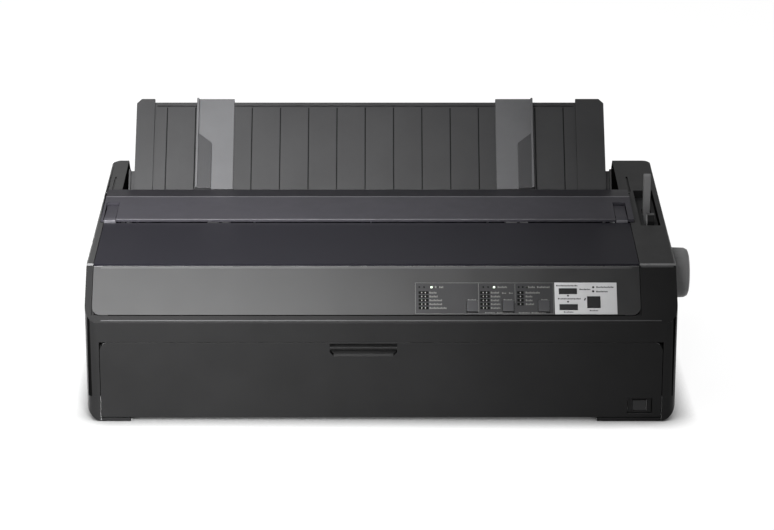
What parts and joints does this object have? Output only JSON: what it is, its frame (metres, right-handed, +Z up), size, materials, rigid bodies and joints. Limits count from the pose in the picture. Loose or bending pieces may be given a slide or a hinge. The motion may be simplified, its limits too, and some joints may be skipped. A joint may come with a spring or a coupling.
{
  "type": "dot matrix printer",
  "caption": "Wide-carriage impact printer with hinged smoked top cover, front paper door, upright sheet guide, platen knob and push tractors.",
  "frame": {"origin": "middle of the whole footprint, knob included, at table level", "axes": "+X to the right seen from the front, +Y to the back, +Z up"},
  "size_m": [0.629, 0.402, 0.2588],
  "materials": {
    "case": "fine textured moulded black plastic",
    "smoke": "smoked violet-grey moulding with a satin gloss",
    "guide": "satin charcoal plastic",
    "edge": "satin mid grey plastic",
    "knob": "matte dark grey plastic with a ribbed rim",
    "lever": "satin grey plastic",
    "key": "satin black keycap",
    "overlay_dark": "satin black label film",
    "overlay_grey": "satin light grey label film",
    "light": "clear light guide",
    "board": "green circuit board with parts",
    "steel": "zinc-plated pressed steel",
    "rod": "ground and plated steel rod",
    "nylon": "natural acetal",
    "rubber": "black rubber",
    "motor": "black stepper motor",
    "mech": "black engineering plastic",
    "head": "cast aluminium head with cooling fins",
    "ribbon": "inked nylon ribbon",
    "accent": "blue-grey winding knob",
    "supply": "bare aluminium supply cover"
  },
  "bodies": {
    "case": {"lower_case": "case", "upper_case": "case", "fascia": "case", "indicator_plate": "overlay_dark", "key_plate": "overlay_grey", "indicator_lights": "light", "key_board": "board", "platen_bushes": "nylon", "feed_motor": "motor", "frame_left": "steel", "frame_right": "steel", "base_plate": "steel", "guide_rod": "rod", "guide_rail": "steel", "ribbon_case": "mech", "ribbon_band": "ribbon", "carriage_motor": "motor", "carriage_belt": "rubber", "tractor_shaft": "rod", "main_board": "board", "power_supply": "supply", "sockets": "mech", "feet_and_screws": "rubber"},
    "key_1": {"key_1": "key"},
    "key_2": {"key_2": "key"},
    "key_3": {"key_3": "key"},
    "key_4": {"key_4": "key"},
    "key_5": {"key_5": "key"},
    "key_6": {"key_6": "key"},
    "top_cover": {"top_cover": "smoke"},
    "front_door": {"front_door": "case"},
    "tension_unit": {"tension_cover": "smoke", "tension_frame": "steel"},
    "tension_rollers": {"tension_rollers": "rubber"},
    "lock_tab_left": {"lock_tab_left": "mech"},
    "lock_tab_right": {"lock_tab_right": "mech"},
    "sheet_guide": {"sheet_guide": "guide"},
    "edge_guide_left": {"edge_guide_left": "edge"},
    "edge_guide_right": {"edge_guide_right": "edge"},
    "release_lever": {"release_lever": "lever"},
    "gap_lever": {"gap_lever": "mech"},
    "platen": {"platen": "rubber", "platen_shaft": "rod", "platen_gear": "nylon", "platen_knob": "knob"},
    "feed_pinion": {"feed_pinion": "nylon"},
    "reduction_gear": {"reduction_gear": "nylon"},
    "idler_front": {"idler_front": "nylon"},
    "idler_rear": {"idler_rear": "nylon"},
    "tractor_drive": {"tractor_drive": "rod"},
    "carriage": {"carriage": "mech", "print_head": "head"},
    "drive_pulley": {"drive_pulley": "steel"},
    "idler_pulley": {"idler_pulley": "steel"},
    "ribbon_knob": {"ribbon_knob": "accent"},
    "tractor_left": {"tractor_left": "mech"},
    "tractor_right": {"tractor_right": "mech"},
    "tractor_lid_left": {"tractor_lid_left": "mech"},
    "tractor_lid_right": {"tractor_lid_right": "mech"},
    "power_switch": {"power_switch": "mech"}
  },
  "joints": [
    {"name": "top_cover_hinge", "type": "hinge", "parent": "case", "child": "top_cover", "pos_m": [-0.0295, -0.049, 0.15987], "axis": [-1, 0, 0], "range_deg": [0, 98]},
    {"name": "front_door_hinge", "type": "hinge", "parent": "case", "child": "front_door", "pos_m": [-0.0145, -0.196, 0.01], "axis": [1, 0, 0], "range_deg": [0, 88]},
    {"name": "tension_unit_hinge", "type": "hinge", "parent": "case", "child": "tension_unit", "pos_m": [-0.029, 0.0446, 0.16906], "axis": [-1, 0, 0], "range_deg": [0, 75]},
    {"name": "tension_roller_spin", "type": "hinge", "parent": "tension_unit", "child": "tension_rollers", "pos_m": [-0.0255, 0.001, 0.134], "axis": [1, 0, 0], "continuous": true},
    {"name": "lock_tab_left_press", "type": "slide", "parent": "tension_unit", "child": "lock_tab_left", "axis": [0, 0.0872, -0.9962], "range_m": [0, 0.0015], "stiffness_N_per_m": 400, "springref_m": -0.002},
    {"name": "lock_tab_right_press", "type": "slide", "parent": "tension_unit", "child": "lock_tab_right", "axis": [0, 0.0872, -0.9962], "range_m": [0, 0.0015], "stiffness_N_per_m": 400, "springref_m": -0.002},
    {"name": "sheet_guide_tilt", "type": "hinge", "parent": "case", "child": "sheet_guide", "pos_m": [-0.0265, 0.0507, 0.1509], "axis": [-1, 0, 0], "range_deg": [0, 40]},
    {"name": "edge_guide_left_slide", "type": "slide", "parent": "sheet_guide", "child": "edge_guide_left", "axis": [1, 0, 0], "range_m": [-0.045, 0.12]},
    {"name": "edge_guide_right_slide", "type": "slide", "parent": "sheet_guide", "child": "edge_guide_right", "axis": [1, 0, 0], "range_m": [-0.16, 0.045]},
    {"name": "release_lever_turn", "type": "hinge", "parent": "case", "child": "release_lever", "pos_m": [0.2703, 0.013, 0.128], "axis": [1, 0, 0], "range_deg": [0, 28]},
    {"name": "gap_lever_turn", "type": "hinge", "parent": "case", "child": "gap_lever", "pos_m": [0.2703, -0.037, 0.128], "axis": [1, 0, 0], "range_deg": [-8, 5]},
    {"name": "platen_spin", "type": "hinge", "parent": "case", "child": "platen", "pos_m": [-0.0145, -0.011, 0.1], "axis": [1, 0, 0], "continuous": true},
    {"name": "reduction_gear_spin", "type": "hinge", "parent": "case", "child": "reduction_gear", "pos_m": [0.2515, -0.04111, 0.05699], "axis": [1, 0, 0], "continuous": true},
    {"name": "feed_pinion_spin", "type": "hinge", "parent": "case", "child": "feed_pinion", "pos_m": [0.2515, -0.06814, 0.03807], "axis": [1, 0, 0], "continuous": true},
    {"name": "idler_front_spin", "type": "hinge", "parent": "case", "child": "idler_front", "pos_m": [0.2515, 0.03775, 0.0914], "axis": [1, 0, 0], "continuous": true},
    {"name": "idler_rear_spin", "type": "hinge", "parent": "case", "child": "idler_rear", "pos_m": [0.2515, 0.07672, 0.09279], "axis": [1, 0, 0], "continuous": true},
    {"name": "tractor_drive_spin", "type": "hinge", "parent": "case", "child": "tractor_drive", "pos_m": [-0.0145, 0.111, 0.108], "axis": [1, 0, 0], "continuous": true},
    {"name": "carriage_slide", "type": "slide", "parent": "case", "child": "carriage", "axis": [1, 0, 0], "range_m": [0, 0.39]},
    {"name": "drive_pulley_spin", "type": "hinge", "parent": "case", "child": "drive_pulley", "pos_m": [-0.2765, -0.073, 0.063], "axis": [0, 0, 1], "continuous": true},
    {"name": "idler_pulley_spin", "type": "hinge", "parent": "case", "child": "idler_pulley", "pos_m": [0.1815, -0.073, 0.063], "axis": [0, 0, 1], "continuous": true},
    {"name": "ribbon_knob_spin", "type": "hinge", "parent": "case", "child": "ribbon_knob", "pos_m": [-0.2385, -0.1146, 0.125], "axis": [0, 0, 1], "continuous": true},
    {"name": "tractor_left_slide", "type": "slide", "parent": "case", "child": "tractor_left", "axis": [1, 0, 0], "range_m": [-0.05, 0.1]},
    {"name": "tractor_right_slide", "type": "slide", "parent": "case", "child": "tractor_right", "axis": [1, 0, 0], "range_m": [-0.1, 0.05]},
    {"name": "tractor_lid_left_hinge", "type": "hinge", "parent": "tractor_left", "child": "tractor_lid_left", "pos_m": [-0.2045, 0.098, 0.1248], "axis": [0, -1, 0], "range_deg": [0, 100]},
    {"name": "tractor_lid_right_hinge", "type": "hinge", "parent": "tractor_right", "child": "tractor_lid_right", "pos_m": [0.1255, 0.098, 0.1248], "axis": [0, -1, 0], "range_deg": [0, 100]},
    {"name": "power_switch_rock", "type": "hinge", "parent": "case", "child": "power_switch", "pos_m": [0.2485, -0.1948, 0.0168], "axis": [-1, 0, 0], "range_deg": [0, 12]},
    {"name": "key_1_press", "type": "slide", "parent": "case", "child": "key_1", "axis": [0, 0.7553, -0.6553], "range_m": [0, 0.0008], "stiffness_N_per_m": 400, "springref_m": -0.0015},
    {"name": "key_2_press", "type": "slide", "parent": "case", "child": "key_2", "axis": [0, 0.7553, -0.6553], "range_m": [0, 0.0008], "stiffness_N_per_m": 400, "springref_m": -0.0015},
    {"name": "key_3_press", "type": "slide", "parent": "case", "child": "key_3", "axis": [0, 0.7553, -0.6553], "range_m": [0, 0.0008], "stiffness_N_per_m": 400, "springref_m": -0.0015},
    {"name": "key_4_press", "type": "slide", "parent": "case", "child": "key_4", "axis": [0, 0.7553, -0.6553], "range_m": [0, 0.0008], "stiffness_N_per_m": 400, "springref_m": -0.0015},
    {"name": "key_5_press", "type": "slide", "parent": "case", "child": "key_5", "axis": [0, 0.7553, -0.6553], "range_m": [0, 0.0008], "stiffness_N_per_m": 400, "springref_m": -0.0015},
    {"name": "key_6_press", "type": "slide", "parent": "case", "child": "key_6", "axis": [0, 0.7553, -0.6553], "range_m": [0, 0.0008], "stiffness_N_per_m": 400, "springref_m": -0.0015}
  ],
  "couplings": [
    {"joint": "reduction_gear_spin", "follows": "platen_spin", "ratio": -1.3333},
    {"joint": "feed_pinion_spin", "follows": "platen_spin", "ratio": 2.8571},
    {"joint": "idler_front_spin", "follows": "platen_spin", "ratio": -1.5385},
    {"joint": "idler_rear_spin", "follows": "platen_spin", "ratio": 1.5385},
    {"joint": "tractor_drive_spin", "follows": "platen_spin", "ratio": -1.6667},
    {"joint": "drive_pulley_spin", "follows": "carriage_slide", "rad_per_m": 104.17},
    {"joint": "idler_pulley_spin", "follows": "carriage_slide", "rad_per_m": 104.17}
  ]
}
